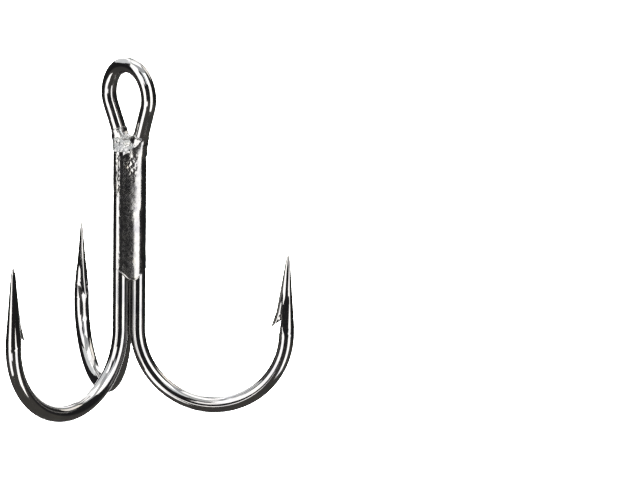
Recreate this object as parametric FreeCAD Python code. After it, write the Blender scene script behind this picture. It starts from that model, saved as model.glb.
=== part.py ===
import FreeCAD, Part

import math
import os

# Treble hook, size 4/0, heavy wire.  Two wires are brazed side by side: one long wire is bent into
# the eye and two of the hooks, and a short wire makes the third hook.  Sizes are in millimetres.
# Frame: origin at the centre of the eye, +Z up the shank, the single hook points along -Y, and
# the eye faces along Y.

V = FreeCAD.Vector

# Wire and bundle
WIRE_DIA = 2.2
WIRE_R = WIRE_DIA / 2
BUNDLE_R = 1.47  # from the middle of the bundle to the middle of each shank
SINGLE_AZIMUTH = -90.0
RIGHT_AZIMUTH = 30.0
LEFT_AZIMUTH = 150.0

# Hooks, all three alike
HOOK_DROP = 43.3  # eye centre down to the wire's middle at the lowest point of a bend
BEND_R = 10.65
SPEAR_LENGTH = 11.4  # straight stretch from the bend to the point
BEND_CENTRE_Z = BEND_R - HOOK_DROP

# Point and barb, measured down from the tip and sideways from the middle of the wire
TAPER_LENGTH = 10.4
NOSE_LENGTH = 1.2
NOSE_R = 0.36
NOSE_SHIFT = 0.06  # outwards, away from the shank
TIP_R = 0.04
TIP_SHIFT = 0.11
FLAT_ANGLE = 5.2  # between each ground flat and the wire
FLAT_RUNOUT = 11.4  # where the flats leave the wire again
BARB_START = 1.2
BARB_START_OUT = 0.28
BARB_KNEE = 8.3
BARB_KNEE_OUT = 1.49
BARB_TIP = 10.7
BARB_TIP_OUT = 2.3
BARB_ROOT = 9.4
BARB_ROOT_OUT = 0.74
BARB_WIDE = 0.55  # half the barb's thickness at the wire's middle
BARB_THIN = 0.1  # and at its tip
SCAR_LENGTH = 4.4  # hollow left under the barb by the cut that raised it
SCAR_RUNOUT_OUT = 1.4

# Eye and neck
EYE_HALF_WIDTH = 3.75
EYE_TOP_R = 3.4
EYE_TOP_ANGLE = 50.0
EYE_SHOULDER_R = 4.2
NECK_ANGLE = 20.5
NECK_R = 11.0
LEAN_R = 12.0  # gentle set that brings the eye over the middle of the bundle

# Braze
SINGLE_TOP_Z = -7.6  # cut end of the single hook's shank
SEAM_PROUD = 0.05  # seams stand this far above the single hook's shank
SEAM_FLANK_PROUD = 0.16  # and this far above the double wire's shanks
BACK_SEAM_PROUD = 0.11
SEAM_WRAP = 0.9  # a seam's skin runs this far round past the middles of its shanks
RIGHT_SEAM_END_Z = -26.4
LEFT_SEAM_END_Z = -25.5
BACK_SEAM_END_Z = -25.9
CORE_END_Z = -24.7
WEB_TOP = -5.6  # lowest point of the web's hollow top edge, in the plane of the eye
WEB_HOLLOW_R = 1.95
WEB_HALF_THICKNESS = 0.92
WEB_HORN_DROP = 4.6  # where the web's top corners run out on the legs
CAP_TOP_Z = -5.8
CAP_FRONT_Y = -2.45
CAP_HALF_WIDTH = 1.22
CAP_ROUND_R = 1.6


def cosd(angle):
    return math.cos(math.radians(angle))


def sind(angle):
    return math.sin(math.radians(angle))


def polar(radius, azimuth, z=0.0):
    """A point at a distance and direction from the middle of the bundle."""
    return V(radius * cosd(azimuth), radius * sind(azimuth), z)


class WirePath:
    """Straight runs and arcs, each starting where and in the direction that the last one ended."""

    def __init__(self, start, direction):
        self.at = V(start)
        self.heading = V(direction).normalize()
        self.edges = []

    def run(self, length):
        end = self.at + self.heading * length
        self.edges.append(Part.LineSegment(self.at, end).toShape())
        self.at = end

    def turn(self, radius, angle, axis):
        """Turns the heading by angle degrees about axis, which is square to it."""
        centre = self.at + axis.cross(self.heading) * radius
        spoke = self.at - centre

        def swung(vector, degrees):
            return FreeCAD.Rotation(axis, degrees).multVec(vector)

        middle = centre + swung(spoke, angle / 2)
        end = centre + swung(spoke, angle)
        self.edges.append(Part.Arc(self.at, middle, end).toShape())
        self.at = end
        self.heading = swung(self.heading, angle)


def follow_hook(path, azimuth):
    """Takes a path that points down a shank round the bend and up to where the point's taper begins."""
    path.run(path.at.z - BEND_CENTRE_Z)
    path.turn(BEND_R, 180.0, polar(1.0, azimuth).cross(V(0, 0, 1)))
    path.run(SPEAR_LENGTH - TAPER_LENGTH)


def sweep(edges, start, direction):
    """A round wire along tangent edges, checked against its section times its length."""
    profile = Part.Wire([Part.Circle(start, direction, WIRE_R).toShape()])
    solid = Part.Wire(edges).makePipeShell([profile], True, False)
    expected = math.pi * WIRE_R**2 * sum(edge.Length for edge in edges)
    assert solid.isValid() and abs(solid.Volume / expected - 1) < 0.01, "the wire's sweep is wrong"
    return solid


def neck_numbers():
    """The neck's straight run, its drop below the eye's centre, and the eye's lean."""
    shank_x = BUNDLE_R * cosd(RIGHT_AZIMUTH)
    shank_y = BUNDLE_R * sind(RIGHT_AZIMUTH)
    turn_in = 1 - cosd(NECK_ANGLE)
    run = (EYE_HALF_WIDTH - (EYE_SHOULDER_R + NECK_R) * turn_in - shank_x) / sind(NECK_ANGLE)
    drop = (EYE_SHOULDER_R + NECK_R) * sind(NECK_ANGLE) + run * cosd(NECK_ANGLE)
    reach = math.hypot(drop, LEAN_R)
    lean = math.atan2(LEAN_R, drop) + math.asin((shank_y - LEAN_R) / reach)
    return run, drop, math.degrees(lean)


NECK_RUN, NECK_DROP, EYE_LEAN = neck_numbers()
EYE_UP = V(0, -sind(EYE_LEAN), cosd(EYE_LEAN))
EYE_NORMAL = EYE_UP.cross(V(1, 0, 0))


def half_eye_path(azimuth):
    """From the top of the eye round its right side, down the neck and shank, and round one hook."""
    side_r = (EYE_HALF_WIDTH - EYE_TOP_R * sind(EYE_TOP_ANGLE)) / (1 - sind(EYE_TOP_ANGLE))
    height = EYE_TOP_R * (1 - cosd(EYE_TOP_ANGLE)) + side_r * cosd(EYE_TOP_ANGLE)
    path = WirePath(EYE_UP * height, V(1, 0, 0))
    path.turn(EYE_TOP_R, EYE_TOP_ANGLE, EYE_NORMAL)
    path.turn(side_r, 90.0 - EYE_TOP_ANGLE, EYE_NORMAL)
    path.turn(EYE_SHOULDER_R, NECK_ANGLE, EYE_NORMAL)
    path.run(NECK_RUN)
    path.turn(NECK_R, NECK_ANGLE, EYE_NORMAL * -1)
    path.turn(LEAN_R, EYE_LEAN, V(-1, 0, 0))
    follow_hook(path, azimuth)
    return path


def mirrored(shape):
    return shape.mirror(V(0, 0, 0), V(1, 0, 0))


# The point's own frame: x inwards from the wire's middle to the shank, y across the hook, and
# z up, with the tip at the origin.


def outline_prism(points, half_thickness):
    """A prism across the hook, from points given as (inwards, below the tip)."""
    corners = [V(inwards, -half_thickness, -below) for inwards, below in points]
    face = Part.Face(Part.makePolygon(corners + corners[:1]))
    return face.extrude(V(0, 2 * half_thickness, 0))


def taper():
    """The sharpened end: a long taper and a short nose, both leaning outwards a little."""

    def ring(radius, shift, below):
        return Part.Wire([Part.Circle(V(-shift, 0, -below), V(0, 0, 1), radius).toShape()])

    base = ring(WIRE_R, 0.0, TAPER_LENGTH)
    nose = ring(NOSE_R, NOSE_SHIFT, NOSE_LENGTH)
    tip = ring(TIP_R, TIP_SHIFT, 0.0)
    return Part.makeLoft([base, nose], True, True).fuse(Part.makeLoft([nose, tip], True, True))


def flat_cutter(side):
    """What one of the two ground flats takes off: a block whose face leans in towards the tip."""
    block = Part.makeBox(4 * WIRE_DIA, WIRE_DIA, FLAT_RUNOUT + WIRE_DIA)
    block.translate(V(-2 * WIRE_DIA, 0, 0))
    block.rotate(V(0, 0, 0), V(1, 0, 0), FLAT_ANGLE)
    block.translate(V(0, WIRE_R, -FLAT_RUNOUT))
    return block if side > 0 else block.mirror(V(0, 0, 0), V(0, 1, 0))


def scar_cutter():
    """The shallow hollow under the barb."""
    end = BARB_ROOT + SCAR_LENGTH
    points = [(BARB_ROOT_OUT, BARB_ROOT), (SCAR_RUNOUT_OUT, end), (2, end), (2, BARB_ROOT)]
    return outline_prism(points, WIRE_DIA)


def barb():
    """A sliver that rises from the taper towards the shank and thins to its tip."""
    side_view = outline_prism(
        [
            (0, BARB_START),
            (BARB_START_OUT, BARB_START),
            (BARB_KNEE_OUT, BARB_KNEE),
            (BARB_TIP_OUT, BARB_TIP),
            (BARB_ROOT_OUT, BARB_ROOT),
            (0, BARB_ROOT),
        ],
        WIRE_DIA,
    )
    top_view = [
        V(0, -BARB_WIDE, 0),
        V(BARB_TIP_OUT, -BARB_THIN, 0),
        V(BARB_TIP_OUT, BARB_THIN, 0),
        V(0, BARB_WIDE, 0),
    ]
    wedge = Part.Face(Part.makePolygon(top_view + top_view[:1])).extrude(V(0, 0, -BARB_TIP))
    return side_view.common(wedge)


def place_at_point(shape, azimuth):
    """Moves a shape from the point's own frame to the hook in that direction."""
    spear = polar(BUNDLE_R + 2 * BEND_R, azimuth, BEND_CENTRE_Z + SPEAR_LENGTH)
    placed = shape.copy()
    placed.rotate(V(0, 0, 0), V(0, 0, 1), azimuth + 180.0)
    placed.translate(spear)
    return placed


def sharpen(wire, azimuth):
    """Adds the point and its barb to the end of a swept wire."""
    shaped = wire.fuse(place_at_point(taper(), azimuth))
    shaped = shaped.cut(place_at_point(scar_cutter(), azimuth))
    shaped = shaped.fuse(place_at_point(barb(), azimuth))
    for side in (1, -1):
        shaped = shaped.cut(place_at_point(flat_cutter(side), azimuth))
    return shaped.removeSplitter()


def double_hook_wire():
    """One wire: a hook, its shank, round the eye, the other shank and the other hook."""
    right = half_eye_path(RIGHT_AZIMUTH)
    left = [mirrored(edge) for edge in reversed(right.edges)]
    start = V(-right.at.x, right.at.y, right.at.z)
    wire = sweep(left + right.edges, start, V(0, 0, 1))
    return sharpen(sharpen(wire, RIGHT_AZIMUTH), LEFT_AZIMUTH)


def single_hook_wire():
    """The third hook, with its shank cut off square under the eye."""
    start = polar(BUNDLE_R, SINGLE_AZIMUTH, SINGLE_TOP_Z)
    path = WirePath(start, V(0, 0, -1))
    follow_hook(path, SINGLE_AZIMUTH)
    return sharpen(sweep(path.edges, start, V(0, 0, -1)), SINGLE_AZIMUTH)


def seam_flank(azimuth, middle_azimuth, proud):
    """Corners of a seam's skin on one shank, from the seam's middle face to near the crown."""
    centre = polar(BUNDLE_R, azimuth)
    to_crown = azimuth - middle_azimuth
    return [
        centre + polar(WIRE_R + proud, middle_azimuth),
        centre + polar(WIRE_R + 0.9 * proud, middle_azimuth + 0.45 * to_crown),
        centre + polar(WIRE_R - 0.01, middle_azimuth + 0.85 * to_crown),
    ]


def seam(first, second, proud_first, proud_second, end_z, wires):
    """The filler in the valley between two shanks, with a round tongue at its lower end."""
    a = polar(BUNDLE_R, first)
    b = polar(BUNDLE_R, second)
    middle_azimuth = (first + second) / 2
    outwards = polar(1.0, middle_azimuth)
    along = (b - a).normalize()
    first_flank = seam_flank(first, middle_azimuth, proud_first)
    second_flank = seam_flank(second, middle_azimuth, proud_second)
    corners = [a, b] + second_flank[::-1] + first_flank
    section = Part.Face(Part.makePolygon(corners + corners[:1]))
    tongue_r = (b - a).Length / 2 + SEAM_WRAP
    tongue_z = end_z + tongue_r
    column = section.extrude(V(0, 0, SINGLE_TOP_Z - end_z))
    column.translate(V(0, 0, end_z))
    middle = (a + b) * 0.5
    round_end = Part.makeCylinder(tongue_r, 2 * WIRE_DIA, middle + V(0, 0, tongue_z), outwards)
    square_end = Part.makeBox(2 * tongue_r, 2 * WIRE_DIA, SINGLE_TOP_Z - tongue_z)
    square_end.rotate(V(0, 0, 0), V(0, 0, 1), math.degrees(math.atan2(along.y, along.x)))
    corner = middle - along * tongue_r
    if along.cross(V(0, 0, 1)).dot(outwards) > 0:
        corner = corner + outwards * 2 * WIRE_DIA
    square_end.translate(corner + V(0, 0, tongue_z))
    return column.common(round_end.fuse(square_end)).cut(wires[0]).cut(wires[1])


def core(wires):
    """The filler drawn into the gap in the middle of the three shanks."""
    corners = [polar(BUNDLE_R, az, CORE_END_Z) for az in (SINGLE_AZIMUTH, RIGHT_AZIMUTH, LEFT_AZIMUTH)]
    face = Part.Face(Part.makePolygon(corners + corners[:1]))
    return face.extrude(V(0, 0, SINGLE_TOP_Z - CORE_END_Z)).cut(wires[0]).cut(wires[1])


def leg_x(drop):
    """How far the middle of a leg is from the middle of the eye, on the neck's straight run."""
    shoulder_x = EYE_HALF_WIDTH - EYE_SHOULDER_R * (1 - cosd(NECK_ANGLE))
    shoulder_drop = EYE_SHOULDER_R * sind(NECK_ANGLE)
    return shoulder_x - (drop - shoulder_drop) * math.tan(math.radians(NECK_ANGLE))


def eye_web(wires):
    """The filler between the two legs at the bottom of the eye, with a hollow top edge."""
    horn_x = leg_x(WEB_HORN_DROP)
    shank_x = BUNDLE_R * cosd(RIGHT_AZIMUTH)
    foot_z = SINGLE_TOP_Z - WIRE_DIA
    corners = [
        V(horn_x, -WEB_HALF_THICKNESS, -WEB_HORN_DROP),
        V(shank_x, -WEB_HALF_THICKNESS, foot_z),
        V(-shank_x, -WEB_HALF_THICKNESS, foot_z),
        V(-horn_x, -WEB_HALF_THICKNESS, -WEB_HORN_DROP),
    ]
    face = Part.Face(Part.makePolygon(corners + corners[:1]))
    plate = face.extrude(V(0, 2 * WEB_HALF_THICKNESS, 0))
    hollow_centre = V(0, -WIRE_DIA, WEB_TOP + WEB_HOLLOW_R)
    plate = plate.cut(Part.makeCylinder(WEB_HOLLOW_R, 2 * WIRE_DIA, hollow_centre, V(0, 1, 0)))
    plate.rotate(V(0, 0, 0), V(1, 0, 0), EYE_LEAN)
    below = Part.makeBox(4 * WIRE_DIA, 4 * WIRE_DIA, 4 * WIRE_DIA)
    below.translate(V(-2 * WIRE_DIA, -2 * WIRE_DIA, SINGLE_TOP_Z - 4 * WIRE_DIA))
    return plate.cut(below).cut(wires[0]).cut(wires[1])


def shank_cap(wires, web):
    """The filler that slopes from the web down over the cut end of the single hook's shank."""
    corners = [
        V(-CAP_HALF_WIDTH, CAP_FRONT_Y, SINGLE_TOP_Z),
        V(-CAP_HALF_WIDTH, 0, SINGLE_TOP_Z),
        V(-CAP_HALF_WIDTH, 0, CAP_TOP_Z),
    ]
    face = Part.Face(Part.makePolygon(corners + corners[:1]))
    wedge = face.extrude(V(2 * CAP_HALF_WIDTH, 0, 0))
    rounded = Part.makeCylinder(CAP_ROUND_R, WIRE_DIA, V(0, CAP_FRONT_Y + CAP_ROUND_R, SINGLE_TOP_Z))
    return wedge.common(rounded).cut(web).cut(wires[0]).cut(wires[1])


def largest_solid(shape):
    """Drops the slivers that a cut can leave behind."""
    return max(shape.Solids, key=lambda solid: solid.Volume)


def build():
    double = largest_solid(double_hook_wire())
    single = largest_solid(single_hook_wire())
    wires = (double, single)
    web = largest_solid(eye_web(wires))
    front, side, back = SEAM_PROUD, SEAM_FLANK_PROUD, BACK_SEAM_PROUD
    single_az = SINGLE_AZIMUTH + 360
    right_seam = seam(SINGLE_AZIMUTH, RIGHT_AZIMUTH, front, side, RIGHT_SEAM_END_Z, wires)
    left_seam = seam(LEFT_AZIMUTH, single_az, side, front, LEFT_SEAM_END_Z, wires)
    back_seam = seam(RIGHT_AZIMUTH, LEFT_AZIMUTH, back, back, BACK_SEAM_END_Z, wires)
    return {
        "double_hook_wire": double,
        "single_hook_wire": single,
        "braze_core": largest_solid(core(wires)),
        "braze_seam_right": largest_solid(right_seam),
        "braze_seam_left": largest_solid(left_seam),
        "braze_seam_back": largest_solid(back_seam),
        "braze_eye_web": web,
        "braze_shank_cap": largest_solid(shank_cap(wires, web)),
    }


os.makedirs("parts", exist_ok=True)
for name, solid in build().items():
    assert solid.isValid(), name + " is not a valid solid"
    solid.exportStep("parts/" + name + ".step")
    box = solid.BoundBox
    print(f"{name}: {solid.Volume:.2f} mm3, x {box.XMin:.2f} to {box.XMax:.2f},"
          f" y {box.YMin:.2f} to {box.YMax:.2f}, z {box.ZMin:.2f} to {box.ZMax:.2f}")
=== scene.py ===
"""The looks of a treble hook: two plated wires and the braze between them, on a pale sweep."""
import math

import bpy
import numpy as np
from mathutils import Matrix, Vector


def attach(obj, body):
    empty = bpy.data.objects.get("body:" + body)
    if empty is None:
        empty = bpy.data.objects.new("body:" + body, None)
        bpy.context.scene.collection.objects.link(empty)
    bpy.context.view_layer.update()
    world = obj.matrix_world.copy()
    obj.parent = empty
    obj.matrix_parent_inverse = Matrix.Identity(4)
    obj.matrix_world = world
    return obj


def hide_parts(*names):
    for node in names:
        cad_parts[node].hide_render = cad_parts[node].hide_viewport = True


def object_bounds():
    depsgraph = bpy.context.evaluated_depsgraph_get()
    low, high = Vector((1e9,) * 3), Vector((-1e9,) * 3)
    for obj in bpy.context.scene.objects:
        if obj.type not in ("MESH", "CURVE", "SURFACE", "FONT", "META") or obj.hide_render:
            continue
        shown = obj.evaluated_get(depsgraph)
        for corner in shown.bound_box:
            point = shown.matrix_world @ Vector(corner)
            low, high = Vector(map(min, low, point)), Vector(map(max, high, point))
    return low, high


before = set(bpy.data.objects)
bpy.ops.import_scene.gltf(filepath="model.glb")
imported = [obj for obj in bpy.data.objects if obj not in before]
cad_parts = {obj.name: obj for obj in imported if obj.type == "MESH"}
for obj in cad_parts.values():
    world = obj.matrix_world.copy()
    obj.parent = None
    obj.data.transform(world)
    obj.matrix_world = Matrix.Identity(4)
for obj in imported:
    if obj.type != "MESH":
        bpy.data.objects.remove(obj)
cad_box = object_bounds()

# Sizes are in millimetres until a mesh is made, and angles in degrees.
MM = 0.001

# Wire and bundle
WIRE_DIA = 2.2
WIRE_R = WIRE_DIA / 2
BUNDLE_R = 1.47
SINGLE_AZIMUTH, RIGHT_AZIMUTH, LEFT_AZIMUTH = -90.0, 30.0, 150.0
SINGLE_TOP_Z = -7.6

# Hooks
HOOK_DROP = 43.3
BEND_R = 10.65
SPEAR_LENGTH = 11.4
BEND_CENTRE_Z = BEND_R - HOOK_DROP

# Point and barb: "b" is the distance below the tip, "x" is inwards from the wire's middle
TAPER_LENGTH = 10.4
NOSE_LENGTH = 1.2
NOSE_R = 0.36
NOSE_SHIFT = 0.06
TIP_R = 0.04
TIP_SHIFT = 0.11
FLAT_ANGLE = 5.2
FLAT_RUNOUT = 11.4
FLAT_LEAST = 0.6  # the flats leave at least this share of the taper's radius
BARB_START = (0.28, 1.2)
BARB_KNEE = (1.49, 8.3)
BARB_TIP = (2.3, 10.7)
BARB_ROOT = (0.74, 9.4)
SCAR_END = (1.4, 13.8)
SCAR_SLOPE = (SCAR_END[0] - BARB_ROOT[0]) / (SCAR_END[1] - BARB_ROOT[1])
SCAR_TURN = 18.0  # how far round the bend the scar can reach
SCAR_BLEND = 0.04

# Half thicknesses of the blade by distance from its inner edge, which is rounded over
EDGE_ROUND = 0.07
BEVEL = 0.45
BLADE_IN, BLADE_IN_THICK = [0, 0.05, BEVEL, 0.68], [0.05, 0.09, 0.4, 0.43]
BLADE_BACK = -0.1  # the blade's own thickness counts down to here
# The same on a ground point 1 mm thick, by distance from the inner edge and from the outer one
FACET_IN, FACET_IN_THICK = [0, 0.05, 0.4, 0.76], [0.05, 0.09, 0.378, 0.5]
FACET_OUT, FACET_OUT_THICK = [0, 0.05, 0.24, 0.44], [0, 0.1, 0.37, 0.5]
FACET_SIZE_LIMIT = 1.5
FACET_FADE = (5.0, 7.5)  # where below the tip the facets run out

# Eye and neck
EYE_HALF_WIDTH = 3.75
EYE_TOP_R = 3.4
EYE_TOP_ANGLE = 50.0
EYE_SHOULDER_R = 4.2
NECK_ANGLE = 20.5
NECK_R = 11.0
LEAN_R = 12.0


def cosd(angle):
    return math.cos(math.radians(angle))


def sind(angle):
    return math.sin(math.radians(angle))


def polar(radius, azimuth, z=0.0):
    return np.array([radius * cosd(azimuth), radius * sind(azimuth), z])


def turned(vector, axis, angle):
    """A vector turned about an axis, by the right-hand rule."""
    turn = Matrix.Rotation(math.radians(angle), 3, Vector(axis))
    return np.array(turn @ Vector(vector))


def smoothstep(value, low, high):
    t = np.clip((value - low) / (high - low), 0.0, 1.0)
    return t * t * (3 - 2 * t)


def between(start, end, share):
    return start + (end - start) * share


def soft_min(a, b, blend):
    h = np.maximum(blend - np.abs(a - b), 0.0) / blend
    return np.minimum(a, b) - h * h * blend / 4


def soft_max(a, b, blend):
    return -soft_min(-a, -b, blend)


# Noise


LATTICE = 32


def lattice_noise(points, wavelength, seed):
    """Smooth noise between -1 and 1 at each point, from a seeded lattice of random values."""
    values = np.random.default_rng(seed).uniform(-1, 1, (LATTICE, LATTICE, LATTICE))
    p = points / wavelength
    cell = np.floor(p).astype(int)
    f = p - cell
    f = f * f * f * (f * (f * 6 - 15) + 10)
    total = np.zeros(len(points))
    for dx in (0, 1):
        for dy in (0, 1):
            for dz in (0, 1):
                corner = (cell + (dx, dy, dz)) % LATTICE
                share = np.abs(1 - dx - f[:, 0]) * np.abs(1 - dy - f[:, 1]) * np.abs(1 - dz - f[:, 2])
                total += share * values[corner[:, 0], corner[:, 1], corner[:, 2]]
    return total


def cell_bumps(points, wavelength, seed):
    """Rounded bumps between 0 and 1: one minus the distance to the nearest of scattered points."""
    offsets = np.random.default_rng(seed).uniform(0, 1, (LATTICE, LATTICE, LATTICE, 3))
    p = points / wavelength
    cell = np.floor(p).astype(int)
    nearest = np.full(len(points), np.inf)
    for dx in (-1, 0, 1):
        for dy in (-1, 0, 1):
            for dz in (-1, 0, 1):
                other = cell + (dx, dy, dz)
                wrapped = other % LATTICE
                seeds = other + offsets[wrapped[:, 0], wrapped[:, 1], wrapped[:, 2]]
                nearest = np.minimum(nearest, np.sum((p - seeds) ** 2, axis=1))
    return 1 - np.minimum(np.sqrt(nearest), 1.0)


# The wires' middle lines


class WirePath:
    """Straight runs and arcs, sampled as they are added."""

    STEP = 0.3
    TURN_STEP = 1.5

    def __init__(self, start, direction):
        self.at = np.array(start, float)
        self.heading = np.array(direction, float) / np.linalg.norm(direction)
        self.points = [self.at]
        self.headings = [self.heading]

    def keep(self, point, heading):
        self.points.append(point)
        self.headings.append(heading)
        self.at = point
        self.heading = heading

    def run(self, length):
        start = self.at
        count = max(1, round(length / self.STEP))
        for i in range(1, count + 1):
            self.keep(start + self.heading * (length * i / count), self.heading)

    def turn(self, radius, angle, axis):
        centre = self.at + np.cross(axis, self.heading) * radius
        spoke, heading = self.at - centre, self.heading
        count = max(1, round(angle / self.TURN_STEP))
        for i in range(1, count + 1):
            part = angle * i / count
            self.keep(centre + turned(spoke, axis, part), turned(heading, axis, part))


def neck_numbers():
    """The neck's straight run and the eye's lean, which bring the eye over the bundle's middle."""
    shank_x, shank_y, _ = polar(BUNDLE_R, RIGHT_AZIMUTH)
    turn_in = 1 - cosd(NECK_ANGLE)
    run = (EYE_HALF_WIDTH - (EYE_SHOULDER_R + NECK_R) * turn_in - shank_x) / sind(NECK_ANGLE)
    drop = (EYE_SHOULDER_R + NECK_R) * sind(NECK_ANGLE) + run * cosd(NECK_ANGLE)
    lean = math.atan2(LEAN_R, drop) + math.asin((shank_y - LEAN_R) / math.hypot(drop, LEAN_R))
    return run, math.degrees(lean)


NECK_RUN, EYE_LEAN = neck_numbers()
EYE_UP = np.array([0, -sind(EYE_LEAN), cosd(EYE_LEAN)])
EYE_NORMAL = np.cross(EYE_UP, [1, 0, 0])


def follow_hook(path, azimuth):
    """Down the shank and round the bend to the bottom of the spear."""
    path.run(path.at[2] - BEND_CENTRE_Z)
    path.turn(BEND_R, 180.0, np.cross(polar(1, azimuth), [0, 0, 1]))


def half_eye_path():
    """From the top of the eye down its right side, the neck and the shank, and round the hook."""
    side_r = (EYE_HALF_WIDTH - EYE_TOP_R * sind(EYE_TOP_ANGLE)) / (1 - sind(EYE_TOP_ANGLE))
    height = EYE_TOP_R * (1 - cosd(EYE_TOP_ANGLE)) + side_r * cosd(EYE_TOP_ANGLE)
    path = WirePath(EYE_UP * height, [1, 0, 0])
    path.turn(EYE_TOP_R, EYE_TOP_ANGLE, EYE_NORMAL)
    path.turn(side_r, 90.0 - EYE_TOP_ANGLE, EYE_NORMAL)
    path.turn(EYE_SHOULDER_R, NECK_ANGLE, EYE_NORMAL)
    path.run(NECK_RUN)
    path.turn(NECK_R, NECK_ANGLE, -EYE_NORMAL)
    path.turn(LEAN_R, EYE_LEAN, [-1, 0, 0])
    follow_hook(path, RIGHT_AZIMUTH)
    return path


def single_path():
    path = WirePath(polar(BUNDLE_R, SINGLE_AZIMUTH, SINGLE_TOP_Z), [0, 0, -1])
    follow_hook(path, SINGLE_AZIMUTH)
    return path


# The wire as rings


RING = 72
RING_ANGLES = np.linspace(0, 2 * np.pi, RING, endpoint=False)
# The vertices of a spear's ring where its bevel ends and its flat starts and ends, between its edges
MARK_VERTICES = [0, 8, 14, 25, RING // 2]
RING_MARKS = (1 - np.cos(RING_ANGLES[MARK_VERTICES])) / 2
# Counts of rings up the scar, out under the barb, up its back, up the blade and up the nose
SCAR_RINGS, UNDERCUT_RINGS, BARB_RINGS, BLADE_RINGS, NOSE_RINGS = 10, 9, 15, 40, 14
SCAR_START_GAP = 0.2  # above the last ring of the bend
# A ring that ends on the barb bends at its way point, which lies this far behind the barb's root.
# Under the barb, the way points and the backs climb above the root by up to these lengths
WAY_DEPTH = 0.19
WAY_START, WAY_END = 0.05, 0.25
BACK_END = 0.35
# Waves in the drawn wire: height, wavelength and seed
WAVES = ((0.006, 2.6, 11), (0.0022, 0.9, 12))


def carried_normals(headings, last_normal):
    """Normals along a path, carried back without twist from the normal at its end."""
    normals = [np.array(last_normal, float)]
    for heading in reversed(headings[:-1]):
        normal = normals[-1] - heading * np.dot(normals[-1], heading)
        normals.append(normal / np.linalg.norm(normal))
    return normals[::-1]


def scar_limit(turn_left):
    """How far inwards the ring may reach on the bend, turn_left degrees before the spear."""
    if turn_left >= SCAR_TURN:
        return WIRE_DIA
    centre_x = BEND_R * (1 - cosd(turn_left))
    centre_b = SPEAR_LENGTH + BEND_R * sind(turn_left)
    line_x = BARB_ROOT[0] + SCAR_SLOPE * (centre_b - BARB_ROOT[1])
    return (line_x - centre_x) / (cosd(turn_left) + SCAR_SLOPE * sind(turn_left))


def body_rings(path, azimuth):
    """Rings of the round wire, up to the bottom of the spear."""
    normals = carried_normals(path.headings, -polar(1, azimuth))
    spear = np.array([0.0, 0.0, 1.0])
    rings = []
    for point, heading, normal in zip(path.points, path.headings, normals):
        side = np.cross(heading, normal)
        turn_left = math.degrees(math.acos(min(1.0, max(-1.0, heading @ spear))))
        limit = np.full(RING, scar_limit(turn_left))
        x = soft_min(WIRE_R * np.cos(RING_ANGLES), limit, SCAR_BLEND)
        y = WIRE_R * np.sin(RING_ANGLES)
        rings.append(point + np.outer(x, normal) + np.outer(y, side))
    return rings


def taper_radius(b):
    return np.interp(b, [0, NOSE_LENGTH, TAPER_LENGTH], [TIP_R, NOSE_R, WIRE_R])


def taper_shift(b):
    return np.interp(b, [0, NOSE_LENGTH, TAPER_LENGTH], [TIP_SHIFT, NOSE_SHIFT, 0])


def front_edge(b):
    """The inner outline from the tip down to the barb's tip."""
    corners = np.array([BARB_START, BARB_KNEE, BARB_TIP])
    blade = np.where(b < BARB_START[1], -1.0, np.interp(b, corners[:, 1], corners[:, 0]))
    return soft_max(taper_radius(b) - taper_shift(b), blade, 0.03)


def flat_half(b):
    """Half the thickness left between the two forged flats."""
    flat = WIRE_R - (FLAT_RUNOUT - b) * math.tan(math.radians(FLAT_ANGLE))
    return np.where(b > FLAT_RUNOUT, WIRE_DIA, np.maximum(flat, FLAT_LEAST * taper_radius(b)))


def facets(b):
    """How fully the point is ground into facets at a place below the tip, and how large they are."""
    return 1 - smoothstep(b, *FACET_FADE), np.minimum(2 * flat_half(b), FACET_SIZE_LIMIT)


def half_thickness(x, b, ground):
    """Half the spear's thickness across the hook, at places given as inwards and below the tip.

    "ground" is 1 for a point with ground facets and 0 for one left round.
    """
    radius = taper_radius(b)
    offset = x + taper_shift(b)
    wire = np.sqrt(np.maximum(radius**2 - offset**2, 0.0))
    from_edge = np.maximum(front_edge(b) - x, 0.0)
    blade = np.where(x > BLADE_BACK, np.interp(from_edge, BLADE_IN, BLADE_IN_THICK), 0.0)
    whole = np.minimum(soft_max(wire, blade, 0.06), flat_half(b))
    grinding, size = facets(b)
    inner = size * np.interp(from_edge / size, FACET_IN, FACET_IN_THICK)
    outer = size * np.interp((offset + radius) / size, FACET_OUT, FACET_OUT_THICK)
    faceted = np.minimum(np.minimum(inner, outer), flat_half(b))
    return np.maximum(between(whole, faceted, grinding * ground), 0.0)


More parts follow.
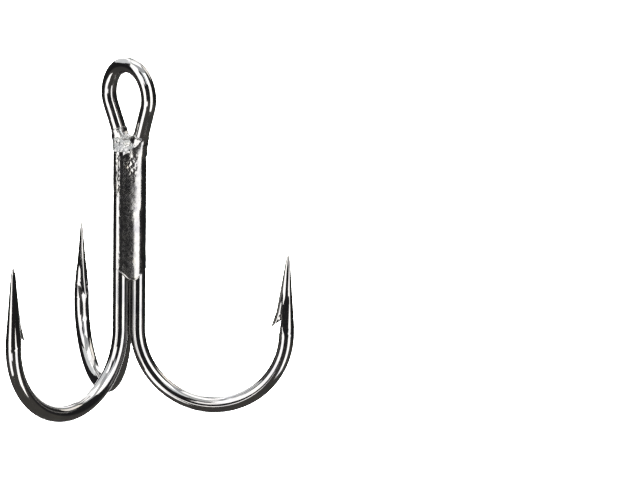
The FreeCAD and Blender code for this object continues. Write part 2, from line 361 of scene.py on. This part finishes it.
def spear_stations():
    """(front point, way point, back point) of each ring on the spear, from its bottom to the tip."""
    way_x = BARB_ROOT[0] - WAY_DEPTH
    root_b, knee_b = BARB_ROOT[1], BARB_KNEE[1]

    def edge(b):
        return (float(front_edge(b)), b)

    def back(b):
        return (-(taper_radius(b) + taper_shift(b)), b)

    stations = []
    for t in np.linspace(0, 1, SCAR_RINGS):
        b = between(SPEAR_LENGTH - SCAR_START_GAP, root_b, t)
        front = (BARB_ROOT[0] + SCAR_SLOPE * (b - root_b), b)
        stations.append((front, (way_x, b - WAY_START * t), back(b)))
    for t in np.linspace(0, 1, UNDERCUT_RINGS)[1:]:
        front = (between(BARB_ROOT[0], BARB_TIP[0], t), between(root_b, BARB_TIP[1], t))
        way = (way_x, root_b - between(WAY_START, WAY_END, t))
        stations.append((front, way, back(root_b - BACK_END * t)))
    for t in np.linspace(0, 1, BARB_RINGS)[1:]:
        front = edge(between(BARB_TIP[1], knee_b, t))
        way = (way_x, between(root_b - WAY_END, knee_b, t))
        stations.append((front, way, back(between(root_b - BACK_END, knee_b, t))))
    blade = np.linspace(knee_b, NOSE_LENGTH, BLADE_RINGS)[1:]
    nose = np.linspace(NOSE_LENGTH, 0, NOSE_RINGS)[1:]
    for b in (*blade, *nose):
        stations.append((edge(b), None, back(b)))
    return stations


def station_outline(front, way, back, ground):
    """Inwards and below-tip places round one ring, from the front to the back and forward again."""
    length, b = front[0] - back[0], back[1]
    chord = math.sqrt(max(float(taper_radius(b) ** 2 - flat_half(b) ** 2), 0.0))
    flat_start = front[0] - (chord - float(taper_shift(b)))
    marks = np.array([0, min(BEVEL, flat_start / 2), flat_start, flat_start + 2 * chord, length])
    grinding, size = facets(b)
    faceted = np.array([0, FACET_IN[2] * size, FACET_IN[3] * size, length - FACET_OUT[3] * size, length])
    marks = between(marks, faceted, grinding * ground)
    share = np.interp((1 - np.cos(RING_ANGLES)) / 2, RING_MARKS, marks / length)
    if way is None:
        way = ((front[0] + back[0]) / 2, (front[1] + back[1]) / 2)
    stops = np.array([front, way, back])
    reached = np.cumsum([0, abs(front[0] - way[0]), abs(way[0] - back[0])])
    reached = reached / reached[-1]
    return np.interp(share, reached, stops[:, 0]), np.interp(share, reached, stops[:, 1])


def spear_rings(azimuth, ground):
    """Rings of the sharpened spear. On the barb they bend so that each follows its outline."""
    inwards = -polar(1, azimuth)
    up = np.array([0.0, 0.0, 1.0])
    across = np.cross(up, inwards)
    tip = polar(BUNDLE_R + 2 * BEND_R, azimuth, BEND_CENTRE_Z + SPEAR_LENGTH)
    side = np.sign(np.sin(RING_ANGLES).round(9))
    rings = []
    for front, way, back in spear_stations():
        x, b = station_outline(front, way, back, ground)
        rounding = np.sqrt(1 - (1 - np.clip((front[0] - x) / EDGE_ROUND, 0, 1)) ** 2)
        y = half_thickness(x, b, ground) * rounding * side
        rings.append(tip + np.outer(x, inwards) + np.outer(y, across) - np.outer(b, up))
    return rings


def ring_normals_out(rings):
    """Unit directions from each ring's middle to its points."""
    rings = np.array(rings)
    middles = rings.mean(axis=1, keepdims=True)
    away = rings - middles
    return away / np.maximum(np.linalg.norm(away, axis=2, keepdims=True), 1e-9)


def with_waviness(rings, still):
    """Drawn wire is never quite true: moves points in or out a little, but not on the last rings."""
    rings = np.array(rings)
    flat = rings.reshape(-1, 3)
    amount = sum(height * lattice_noise(flat, wavelength, seed) for height, wavelength, seed in WAVES)
    amount = amount.reshape(rings.shape[:2])
    amount[len(rings) - still:] = 0
    return rings + ring_normals_out(rings) * amount[..., None]


def hook_rings(path, azimuth, ground):
    rings = np.concatenate([body_rings(path, azimuth), spear_rings(azimuth, ground)])
    return with_waviness(rings, len(spear_stations()))


def ring_faces(count):
    """Quads between rings that follow each other."""
    faces = []
    for first in range(0, (count - 1) * RING, RING):
        for j in range(RING):
            a, b = first + j, first + (j + 1) % RING
            faces.append((a, b, b + RING, a + RING))
    return faces


def end_faces(first, middle):
    """Triangles between the ring that starts at a vertex and the vertex in its middle."""
    return [(first + j, first + (j + 1) % RING, middle) for j in range(RING)]


def mesh_object(name, vertices, faces, sharp_angle):
    """A smooth-shaded object in metres, from vertices in millimetres."""
    mesh = bpy.data.meshes.new(name)
    mesh.from_pydata((np.array(vertices) * MM).tolist(), [], faces)
    mesh.validate()
    mesh.shade_smooth()
    mesh.set_sharp_from_angle(angle=math.radians(sharp_angle))
    piece = bpy.data.objects.new(name, mesh)
    bpy.context.scene.collection.objects.link(piece)
    return piece


HOOK_SHARP_ANGLE = 24
BRAZE_SHARP_ANGLE = 60
CUT_END_SHARES = (0.3, 0.9)  # of the wire's radius, for the rings that close the cut end


def make_double_hook():
    """The right half, from the top of the eye to the tip, and its mirror image."""
    rings = hook_rings(half_eye_path(), RIGHT_AZIMUTH, 1)
    rings[0][:, 0] = 0.0
    right = rings.reshape(-1, 3)
    tip = right[-RING:].mean(axis=0)
    mirror = np.array([-1.0, 1.0, 1.0])
    vertices = np.concatenate([right, right[RING:] * mirror, [tip, tip * mirror]])
    right_tip, left_tip = len(vertices) - 2, len(vertices) - 1

    def to_left(v):
        """The same vertex on the left half. Both halves share the first ring."""
        if v == right_tip:
            return left_tip
        return v if v < RING else v + len(right) - RING

    faces = ring_faces(len(rings)) + end_faces(len(right) - RING, right_tip)
    faces += [tuple(to_left(v) for v in reversed(face)) for face in faces]
    return mesh_object("double_hook_plated", vertices, faces, HOOK_SHARP_ANGLE)


def make_single_hook():
    rings = hook_rings(single_path(), SINGLE_AZIMUTH, 0)
    start = rings[0].mean(axis=0)
    cut_end = [start + (rings[0] - start) * share for share in CUT_END_SHARES]
    rings = np.concatenate([cut_end, rings])
    vertices = np.concatenate([rings.reshape(-1, 3), [rings[0].mean(axis=0), rings[-1].mean(axis=0)]])
    start_vertex, tip_vertex = len(vertices) - 2, len(vertices) - 1
    faces = ring_faces(len(rings))
    faces += [(b, a, middle) for a, b, middle in end_faces(0, start_vertex)]
    faces += end_faces((len(rings) - 1) * RING, tip_vertex)
    return mesh_object("single_hook_plated", vertices, faces, HOOK_SHARP_ANGLE)


# The braze, as a field that is negative inside it


def leg_points():
    """The right leg's middle, from the eye's widest down to the bend, lowest first."""
    points = np.array(half_eye_path().points)
    shank_end = int(np.argmax(points[:, 2] <= BEND_CENTRE_Z + 0.01))
    widest = int(points[:shank_end, 0].argmax())
    return points[widest:shank_end][::-1]


LEG_X, LEG_Y, LEG_Z = leg_points().T

# Bearings of the seams, and how far the braze runs on below the crowns' end in each
RIGHT_SEAM, BACK_SEAM, LEFT_SEAM = -30.0, 90.0, 210.0
SEAM_ENDS = {RIGHT_SEAM: 1.7, BACK_SEAM: 1.2, LEFT_SEAM: 0.8}
CROWN_END_Z = -24.25
# How far the seams stand proud, by bearing from their middles. The front ones start at the single hook
CROWN_BARE = -0.055
FRONT_SEAM_ANGLES = [-62, -54, -46, -38, -20, -4, 4, 10, 16, 22, 28, 34, 40, 46, 52]
FRONT_SEAM_PROUD = [
    CROWN_BARE, -0.02, 0.008, 0.008, 0.14, 0.235, 0.271, 0.286,
    0.29, 0.275, 0.234, 0.14, 0.03, -0.02, CROWN_BARE,
]
BACK_SEAM_ANGLES = [-58, -51, -44, 0, 44, 51, 58]
BACK_SEAM_PROUD = [CROWN_BARE, 0.06, 0.11, 0.12, 0.11, 0.06, CROWN_BARE]
# Above the crease the front seams' outer sides are turned by a few degrees
CREASE_Z = -16.0
CREASE_SHIFT = 3.0
# A line of beads beside the single hook's crown
BEAD_ANGLE, BEAD_WIDTH, BEAD_PROUD = 14, 3.5, 0.04
# A thin film covers the single hook's crown down to its end, and all but the right seam further up
FILM_PROUD = 0.05
FILM_END_Z = -13.6
FILM_EDGE = (-84, -74)
UPPER_FILM_Z = (-9.6, -8.2)
UPPER_FILM_START = (0, 12)
# A patch of pits in the right seam, just under the cap
PIT_BEARING, PIT_BEARING_SPREAD = -33, 22
PIT_Z, PIT_Z_SPREAD = -9.4, 1.1
PIT_SIZE, PIT_DEPTH = 0.34, 0.085
# The lip at the lower end
LIP_PROUD, LIP_RISE, LIP_WIDTH = 0.045, 0.2, 0.15
# The cap climbs from the single hook's cut end to the eye's web, and tilts down to the right
CAP_FOOT_Y, CAP_RUN, CAP_RISE = -2.35, 2.0, 2.25
CAP_TILT = 0.4
CAP_COSINE = 0.72
# The web between the eye's legs
WEB_TOP, WEB_BOTTOM = -5.6, -8.3
WEB_HALF, WEB_FLARE, WEB_FOOT = 0.72, 0.45, 0.3
WEB_SAG = 0.38
# Collars of braze creep up the left leg and the right one
COLLAR_Z = (-4.65, -5.3)
COLLAR_BOTTOM = -8.4
COLLAR_X = 1.87
COLLAR_PROUD, COLLAR_BARE, COLLAR_RIM = 0.05, -0.13, 0.05
# How widely each of these blends into the rest
END_BLEND, CAP_BLEND, WEB_BLEND, COLLAR_BLEND = 0.2, 0.25, 0.55, 0.25


def leg_middle(z):
    return np.interp(z, LEG_Z, LEG_X), np.interp(z, LEG_Z, LEG_Y)


def bundle_distance(x, y, leg_x, leg_y, front_y):
    """Distance in the level plane to the triangle between the three shanks' middles."""
    corners = [(leg_x, leg_y), (-leg_x, leg_y), (np.zeros_like(x), front_y)]
    nearest = np.full_like(x, np.inf)
    outside = np.full_like(x, -np.inf)
    for (ax, ay), (bx, by) in zip(corners, corners[1:] + corners[:1]):
        ex, ey = bx - ax, by - ay
        length = np.sqrt(ex * ex + ey * ey)
        t = np.clip(((x - ax) * ex + (y - ay) * ey) / length**2, 0, 1)
        nearest = np.minimum(nearest, np.hypot(x - ax - t * ex, y - ay - t * ey))
        outside = np.maximum(outside, ((x - ax) * ey - (y - ay) * ex) / length)
    return np.where(outside > 0, nearest, outside)


def braze_shape(points):
    """Distance to the three shanks wrapped in a tight skin, without any roughness."""
    x, y, z = points.T
    leg_x, leg_y = leg_middle(z)
    return bundle_distance(x, y, leg_x, leg_y, np.full_like(x, -BUNDLE_R)) - WIRE_R


def bearing_from(bearing, middle):
    """A bearing measured from another one, between -180 and 180."""
    return (bearing - middle + 180) % 360 - 180


def hump(value, middle, width):
    return np.exp(-(((value - middle) / width) ** 2))


def rounded_outline(bearing, angles, heights):
    """A seam's outline with its corners blurred."""
    return sum(np.interp(bearing + d, angles, heights) for d in (-3, 0, 3)) / 3


def seam_proud(bearing):
    """How far the braze stands above the wires and the lines that touch them, by bearing."""
    bearing = (bearing + 90) % 360 - 90
    right = rounded_outline(bearing - RIGHT_SEAM, FRONT_SEAM_ANGLES, FRONT_SEAM_PROUD)
    left = rounded_outline(LEFT_SEAM - bearing, FRONT_SEAM_ANGLES, FRONT_SEAM_PROUD)
    back = rounded_outline(bearing - BACK_SEAM, BACK_SEAM_ANGLES, BACK_SEAM_PROUD)
    return np.where(bearing < RIGHT_AZIMUTH, right, np.where(bearing > LEFT_AZIMUTH, left, back))


def skin_proud(points, bearing, slow, quick, fine):
    """How far the braze stands proud at each point, with its crease, beads, films and pits."""
    z = points[:, 2]
    to_crown = bearing_from(3 * bearing, 3 * RIGHT_AZIMUTH) / 3
    from_crown = np.abs(to_crown)
    from_single = np.abs(bearing_from(bearing, SINGLE_AZIMUTH))
    wander = (3 * lattice_noise(points, 1.1, 24) + 2 * quick) * (1 - smoothstep(from_crown, 12, 32))
    behind, at_left = bearing > RIGHT_AZIMUTH, bearing < SINGLE_AZIMUTH
    turn = CREASE_SHIFT * np.select([bearing > LEFT_AZIMUTH, behind, at_left], [-2, 0, -1], 1)
    turn = turn * smoothstep(from_single, 45, 65)
    turn = turn * smoothstep(z + 0.3 * slow, CREASE_Z - 0.3, CREASE_Z + 0.4)
    proud = seam_proud(bearing - np.sign(to_crown) * wander - turn)
    beads = np.maximum(lattice_noise(points, 0.5, 25), 0)
    proud = proud + BEAD_PROUD * hump(from_single + wander, BEAD_ANGLE, BEAD_WIDTH) * beads
    film = smoothstep(z + 0.7 * slow + 0.5 * quick, FILM_END_Z - 0.6, FILM_END_Z + 0.8) * (from_single < 60)
    film = film * (1 - smoothstep(bearing + 2 * quick, *FILM_EDGE))
    around = 1 - smoothstep(bearing, *FILM_EDGE) + smoothstep(bearing, *UPPER_FILM_START)
    upper_film = smoothstep(z + 0.5 * quick, *UPPER_FILM_Z) * around
    proud = np.maximum(proud, between(CROWN_BARE, FILM_PROUD, np.maximum(film, upper_film)))
    proud = proud + (0.016 * slow + 0.006 * quick) * smoothstep(from_crown, 4, 21)
    rough_film = film * (1 - smoothstep(from_single, 12, 24))
    proud = proud + rough_film * (0.03 * quick + 0.02 * fine)
    patch = hump(bearing, PIT_BEARING, PIT_BEARING_SPREAD) * hump(z, PIT_Z, PIT_Z_SPREAD)
    pits = PIT_DEPTH * (cell_bumps(points, PIT_SIZE, 26) - 0.55)
    return proud + patch * (pits + 0.03 * fine)


def lower_end(bearing):
    """Height of the braze's lower end, which runs further down in the seams."""
    end_z = np.full_like(bearing, CROWN_END_Z)
    for middle, depth in SEAM_ENDS.items():
        off = np.clip(1.5 * bearing_from(bearing, middle), -90, 90)
        end_z = end_z - depth * np.cos(np.radians(off)) ** 1.5
    return end_z


def cap_field(points, slow, quick, fine):
    """Negative below the cap's slope, and below the web's hollow behind it."""
    x, y, z = points.T
    climb = np.clip((y - CAP_FOOT_Y) / CAP_RUN, 0, 2)
    slope_z = SINGLE_TOP_Z - 0.05 + CAP_RISE * climb**1.6 - CAP_TILT * smoothstep(x, 0.0, 1.2)
    lumps = 0.1 * slow + 0.1 * quick + 0.03 * fine + 0.04 * (0.5 - cell_bumps(points, 0.6, 27))
    hollow = z - (WEB_TOP - 0.5 + 0.3 * x * x)
    return soft_max((z - slope_z) * CAP_COSINE + lumps, hollow, 0.3)


def web_field(points, slow, quick, fine):
    """Negative in the web, which is thicker at the legs and at its foot."""
    x, y, z = points.T
    leg_x, leg_y = leg_middle(z)
    thick = WEB_HALF + WEB_FLARE * (np.abs(x) / leg_x) ** 3 + WEB_FOOT * smoothstep(-z, 6.2, 7.6)
    web = soft_max(np.abs(y - leg_y) - thick, z - (WEB_TOP + WEB_SAG * x * x), 0.6)
    web = soft_max(soft_max(web, np.abs(x) - leg_x, 0.2), WEB_BOTTOM - z, 0.4)
    return web + 0.04 * slow + 0.035 * quick + 0.015 * fine


def collar_field(points, quick):
    """Negative in the collars. Each ends in a raised rim."""
    x, y, z = points.T
    leg_x, leg_y = leg_middle(z)
    up_leg = z + (np.abs(x) - COLLAR_X) * math.tan(math.radians(NECK_ANGLE))
    end = np.where(x < 0, *COLLAR_Z) + 0.22 * lattice_noise(points, 0.8, 28)
    proud = between(COLLAR_PROUD, COLLAR_BARE, smoothstep(up_leg, end - 0.08, end + 0.08)) + 0.04 * quick
    proud = proud + COLLAR_RIM * hump(up_leg, end - 0.14, 0.12)
    collar = np.hypot(np.abs(x) - leg_x, y - leg_y) * 0.96 - (WIRE_R + proud)
    return soft_max(collar, COLLAR_BOTTOM - z, 0.3)


def braze_near(points):
    """The braze's field near its surface."""
    x, y, z = points.T
    slow = lattice_noise(points * (1, 1, 0.5), 1.4, 21)
    quick = lattice_noise(points, 0.42, 22)
    fine = lattice_noise(points, 0.2, 23)
    bearing = np.degrees(np.arctan2(y, x))
    body = braze_shape(points) - skin_proud(points, bearing, slow, quick, fine)
    end_z = lower_end(bearing) + 0.1 * quick
    body = body - LIP_PROUD * hump(z, end_z + LIP_RISE, LIP_WIDTH)
    body = soft_max(body, end_z - z, END_BLEND)
    body = soft_max(body, cap_field(points, slow, quick, fine), CAP_BLEND)
    body = soft_min(body, web_field(points, slow, quick, fine), WEB_BLEND)
    return soft_min(body, collar_field(points, quick), COLLAR_BLEND)


SURELY_OUT, SURELY_IN = 0.5, -0.35
SOLID_TOP_Z, SOLID_BOTTOM_Z = -9.8, -23.5


def braze_field(points):
    """Negative inside the braze, about a distance in millimetres near its surface."""
    value = braze_shape(points)
    z = points[:, 2]
    surely_in = (value < SURELY_IN) & (z < SOLID_TOP_Z) & (z > SOLID_BOTTOM_Z)
    near = ~((value > SURELY_OUT) | surely_in)
    value[near] = braze_near(points[near])
    return value


def grid_slice(axis, cut, rest=slice(None)):
    """An index into a grid that cuts one axis, and takes the same stretch of the other two."""
    index = [rest] * 3
    index[axis] = cut
    return tuple(index)


def surface_net(field, low, high, step):
    """Quads on the field's zero surface: one vertex in each cell that it crosses."""
    counts = [math.ceil((h - l) / step) + 1 for l, h in zip(low, high)]
    axes = [l + step * np.arange(n) for l, n in zip(low, counts)]
    grid = np.stack(np.meshgrid(*axes, indexing="ij"), axis=-1)
    values = np.concatenate([field(slab.reshape(-1, 3)) for slab in grid]).reshape(counts)
    inside = values < 0
    cells = [n - 1 for n in counts]
    # Each cell's vertex is the mean of the places where the cell's edges cross the surface
    total = np.zeros((*cells, 3))
    crossings = np.zeros(cells)
    for axis in range(3):
        behind, ahead = grid_slice(axis, slice(0, -1)), grid_slice(axis, slice(1, None))
        crossed = inside[behind] != inside[ahead]
        fall = np.where(crossed, values[behind] - values[ahead], 1)
        where = np.where(crossed, values[behind] / fall, 0)
        across = [a for a in range(3) if a != axis]
        for sides in ((0, 0), (0, 1), (1, 0), (1, 1)):
            part = [slice(None)] * 3
            for other, side in zip(across, sides):
                part[other] = slice(side, side + cells[other])
            hit = crossed[tuple(part)]
            place = np.zeros((*hit.shape, 3))
            place[..., axis] = where[tuple(part)]
            place[..., across] = sides
            total += place * hit[..., None]
            crossings += hit
    used = crossings > 0
    index = np.full(cells, -1)
    index[used] = np.arange(used.sum())
    corners = np.stack(np.nonzero(used), axis=-1)
    vertices = np.array(low) + step * (corners + total[used] / crossings[used][:, None])
    # Each grid edge that crosses the surface gets a quad between the four cells round it
    faces = []
    core = slice(1, -1)
    for axis in range(3):
        others = [(axis + 1) % 3, (axis + 2) % 3]
        starts = inside[grid_slice(axis, slice(0, -1), core)]
        ends = inside[grid_slice(axis, slice(1, None), core)]
        for leaving, mask in ((True, starts & ~ends), (False, ~starts & ends)):
            spots = np.stack(np.nonzero(mask), axis=-1)
            spots[:, others] += 1
            quad = []
            for shift in ((-1, -1), (0, -1), (0, 0), (-1, 0)):
                cell = spots.copy()
                cell[:, others] += shift
                quad.append(index[tuple(cell.T)])
            faces.append(np.stack(quad if leaving else quad[::-1], axis=-1))
    return vertices, np.concatenate(faces)


def settled(vertices, field, rounds):
    """Moves vertices onto the field's zero surface, in short moves."""
    delta, least_slope, longest = 0.004, 0.2, 0.03
    for _ in range(rounds):
        value = field(vertices)
        slope = np.stack([field(vertices + delta * np.eye(3)[a]) - value for a in range(3)], axis=-1) / delta
        move = slope * (value / np.maximum(np.sum(slope**2, axis=1), least_slope))[:, None]
        vertices = vertices - np.clip(move, -longest, longest)
    return vertices


BRAZE_LOW, BRAZE_HIGH = (-2.85, -2.95, -27.4), (2.85, 2.35, -3.4)
FINE_STEP, QUICK_STEP = 0.075, 0.13


def make_braze():
    step = FINE_STEP
    vertices, faces = surface_net(braze_field, BRAZE_LOW, BRAZE_HIGH, step)
    vertices = settled(vertices, braze_field, 2)
    return mesh_object("braze_plated", vertices, faces.tolist(), BRAZE_SHARP_ANGLE)


# Materials


def noise_node(tree, scale, detail):
    """Noise over the object's own coordinates, which are metres, with scale in ripples per millimetre."""
    place = tree.nodes.new("ShaderNodeTexCoord")
    texture = tree.nodes.new("ShaderNodeTexNoise")
    texture.inputs["Scale"].default_value = scale / MM
    texture.inputs["Detail"].default_value = detail
    tree.links.new(place.outputs["Object"], texture.inputs["Vector"])
    return texture


def link_ramp(tree, source, stops, target):
    """A colour ramp from a texture's factor to a shader's input. Stops are (place, colour)."""
    node = tree.nodes.new("ShaderNodeValToRGB")
    elements = node.color_ramp.elements
    while len(elements) < len(stops):
        elements.new(0.5)
    for element, (place, colour) in zip(elements, stops):
        element.position = place
        element.color = (*colour, 1)
    tree.links.new(source.outputs["Fac"], node.inputs["Fac"])
    tree.links.new(node.outputs["Color"], target)


def link_bump(tree, source, distance, strength, target):
    node = tree.nodes.new("ShaderNodeBump")
    node.inputs["Distance"].default_value = distance * MM
    node.inputs["Strength"].default_value = strength
    tree.links.new(source.outputs["Fac"], node.inputs["Height"])
    tree.links.new(node.outputs["Normal"], target)


def plating(name, clouds, tints, wear, roughness, grain, relief):
    """Black nickel. Clouds, wear and grain are (scale, detail), and relief is (distance, strength)."""
    material = bpy.data.materials.new(name)
    material.use_nodes = True
    tree = material.node_tree
    shader = tree.nodes["Principled BSDF"]
    shader.inputs["Metallic"].default_value = 1.0
    greys = [(place, (value, value, value)) for place, value in roughness]
    link_ramp(tree, noise_node(tree, *clouds), tints, shader.inputs["Base Color"])
    link_ramp(tree, noise_node(tree, *wear), greys, shader.inputs["Roughness"])
    link_bump(tree, noise_node(tree, *grain), *relief, shader.inputs["Normal"])
    return material


def wire_plating():
    """Black nickel on drawn wire: a dark mirror, faintly clouded."""
    return plating(
        "black_nickel_wire",
        clouds=(0.35, 3),
        tints=[(0.3, (0.31, 0.305, 0.31)), (0.7, (0.42, 0.405, 0.385))],
        wear=(1.4, 4),
        roughness=[(0.35, 0.05), (0.75, 0.13)],
        grain=(7.0, 5),
        relief=(0.0016, 0.6),
    )


def braze_plating():
    """Black nickel over braze: the same metal on a rougher, cloudier skin."""
    return plating(
        "black_nickel_braze",
        clouds=(0.9, 5),
        tints=[(0.3, (0.29, 0.285, 0.29)), (0.62, (0.4, 0.39, 0.37)), (0.8, (0.5, 0.46, 0.4))],
        wear=(2.6, 5),
        roughness=[(0.3, 0.13), (0.75, 0.25)],
        grain=(6.0, 6),
        relief=(0.012, 0.5),
    )


def floor_material():
    """Pale paper that gives off light of its own, which hides the shadows."""
    material = bpy.data.materials.new("sweep_paper")
    material.use_nodes = True
    shader = material.node_tree.nodes["Principled BSDF"]
    shader.inputs["Base Color"].default_value = (0.93, 0.93, 0.93, 1)
    shader.inputs["Roughness"].default_value = 0.9
    shader.inputs["Specular IOR Level"].default_value = 0.1
    shader.inputs["Emission Color"].default_value = (1, 1, 1, 1)
    shader.inputs["Emission Strength"].default_value = 0.9
    return material


# Studio


AIM_Z = -19.1
CAMERA_AZIMUTH = 42.85
CAMERA_ELEVATION = 9.577
CAMERA_DISTANCE = 540.8
LOOK_AZIMUTH = 39.957
LOOK_ELEVATION = 9.678
LOOK_ROLL = 0.853
CAMERA_ZOOM = 6.0246  # focal length over picture width


def view_axes(azimuth, elevation):
    """Unit vectors towards the camera, to its right and up."""
    back = np.array([sind(azimuth) * cosd(elevation), -cosd(azimuth) * cosd(elevation), sind(elevation)])
    right = np.array([cosd(azimuth), sind(azimuth), 0.0])
    return back, right, np.cross(back, right)


def make_camera():
    """A long lens on the hook, which stands left of the picture's middle."""
    back, _, _ = view_axes(CAMERA_AZIMUTH, CAMERA_ELEVATION)
    place = np.array([0, 0, AIM_Z]) + back * CAMERA_DISTANCE
    back, right, up = view_axes(LOOK_AZIMUTH, LOOK_ELEVATION)
    right, up = right * cosd(LOOK_ROLL) + up * sind(LOOK_ROLL), up * cosd(LOOK_ROLL) - right * sind(LOOK_ROLL)
    data = bpy.data.cameras.new("camera")
    data.lens = data.sensor_width * CAMERA_ZOOM
    data.clip_start, data.clip_end = 0.01, 20
    camera = bpy.data.objects.new("camera", data)
    bpy.context.scene.collection.objects.link(camera)
    turn = Matrix([[right[i], up[i], back[i]] for i in range(3)]).to_4x4()
    camera.matrix_world = Matrix.Translation(Vector(place * MM)) @ turn
    bpy.context.scene.camera = camera


def softbox(name, bearing, elevation, distance, size, radiance, tint=(1, 1, 1), in_metal=True):
    """An area light that faces the hook, at a bearing to the right of the camera, in metres.

    With in_metal it shows in the metal and doesn't light the floor. Without, it does the opposite.
    """
    back, _, _ = view_axes(CAMERA_AZIMUTH + bearing, elevation)
    data = bpy.data.lights.new(name, "AREA")
    data.shape = "RECTANGLE"
    data.size, data.size_y = size
    data.energy = radiance * math.pi * size[0] * size[1]
    data.color = tint
    light = bpy.data.objects.new(name, data)
    bpy.context.scene.collection.objects.link(light)
    light.location = Vector((0, 0, AIM_Z * MM)) + Vector(back) * distance
    light.rotation_mode = "QUATERNION"
    light.rotation_quaternion = Vector(back).to_track_quat("Z", "Y")
    light.visible_camera = False
    light.visible_glossy = in_metal
    light.visible_diffuse = not in_metal


def make_lights():
    cool, warm = (0.94, 0.98, 1.0), (1.0, 0.965, 0.9)
    softbox("key_left", -51, 6, 0.5, (0.32, 1.1), 3.0)
    softbox("wing_left", -25, 22, 0.5, (0.15, 0.17), 2.6)
    softbox("wing_low", -25, -20, 0.5, (0.15, 0.07), 2.8)
    softbox("key_right", 43, 6, 0.5, (0.30, 1.1), 3.0)
    softbox("top", 180, 79, 0.5, (0.4, 0.36), 2.4)
    softbox("sky_left", -118, 46, 0.5, (0.55, 0.36), 1.6, cool)
    softbox("front_top", 22, 38, 0.5, (0.32, 0.26), 1.5, cool)
    softbox("top_halo", 0, 74, 0.58, (0.8, 0.6), 1.0, cool)
    softbox("sky_back", 180, 42, 0.5, (0.45, 0.3), 0.7, cool)
    softbox("sky_right", 122, 42, 0.5, (0.26, 0.26), 2.3, warm)
    softbox("back_left", -165, 8, 0.6, (0.16, 0.9), 2.2)
    softbox("back_right", 165, 8, 0.6, (0.16, 0.9), 2.2)
    softbox("paper_top", 0, 89, 1.4, (2.4, 2.4), 4.6, in_metal=False)


def make_world():
    """A dim room that is lighter towards the floor."""
    world = bpy.data.worlds.new("studio")
    bpy.context.scene.world = world
    world.use_nodes = True
    nodes, links = world.node_tree.nodes, world.node_tree.links
    direction = nodes.new("ShaderNodeTexCoord")
    split = nodes.new("ShaderNodeSeparateXYZ")
    height = nodes.new("ShaderNodeMapRange")
    height.inputs["From Min"].default_value = -1.0
    height.inputs["From Max"].default_value = 1.0
    room = nodes.new("ShaderNodeValToRGB")
    elements = room.color_ramp.elements
    elements[0].position, elements[0].color = 0.3, (0.11, 0.107, 0.1, 1)
    elements[1].position, elements[1].color = 0.4, (0.029, 0.029, 0.031, 1)
    links.new(direction.outputs["Generated"], split.inputs["Vector"])
    links.new(split.outputs["Z"], height.inputs["Value"])
    links.new(height.outputs["Result"], room.inputs["Fac"])
    links.new(room.outputs["Color"], nodes["Background"].inputs["Color"])


# The sweep, in metres
FLOOR_R = 1.1
FLOOR_INNER_R = 0.5
FLOOR_GAP = 0.0002
SWEEP_R = 0.6
SWEEP_TOP = 2.6
SWEEP_STEPS = 12
SWEEP_SIDES = 96


def make_sweep(floor_z):
    """A round pale floor that curves up into a wall on every side."""
    profile = [(0.0, 0.0), (FLOOR_INNER_R, 0.0), (FLOOR_R, 0.0)]
    for i in range(1, SWEEP_STEPS + 1):
        angle = 90.0 * i / SWEEP_STEPS
        profile.append((FLOOR_R + SWEEP_R * sind(angle), SWEEP_R * (1 - cosd(angle))))
    profile.append((FLOOR_R + SWEEP_R, SWEEP_TOP))
    vertices, faces = [], []
    for radius, height in profile:
        for k in range(SWEEP_SIDES):
            x, y, _ = polar(radius, 360.0 * k / SWEEP_SIDES)
            vertices.append((x, y, height + floor_z))
    for i in range(len(profile) - 1):
        for k in range(SWEEP_SIDES):
            a, b = i * SWEEP_SIDES + k, i * SWEEP_SIDES + (k + 1) % SWEEP_SIDES
            faces.append((a, b, b + SWEEP_SIDES, a + SWEEP_SIDES))
    mesh = bpy.data.meshes.new("sweep")
    mesh.from_pydata(vertices, [], faces)
    mesh.shade_smooth()
    sweep = bpy.data.objects.new("sweep", mesh)
    bpy.context.scene.collection.objects.link(sweep)
    mesh.materials.append(floor_material())
    sweep.visible_glossy = False
    sweep.visible_shadow = False


make_camera()
make_lights()
make_world()
make_sweep(cad_box[0][2] - FLOOR_GAP)
bpy.context.scene.view_settings.view_transform = "Standard"

wire_metal = wire_plating()
braze_metal = braze_plating()

double_hook = make_double_hook()
single_hook = make_single_hook()
braze = make_braze()
for piece, material, slot in (
    (double_hook, wire_metal, "plated_wire"),
    (single_hook, wire_metal, "plated_wire"),
    (braze, braze_metal, "plated_braze"),
):
    piece.data.materials.append(material)
    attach(piece, "root")
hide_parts("double_hook_wire")
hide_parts("single_hook_wire")
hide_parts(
    "braze_core", "braze_seam_right", "braze_seam_left", "braze_seam_back",
    "braze_eye_web", "braze_shank_cap",
)
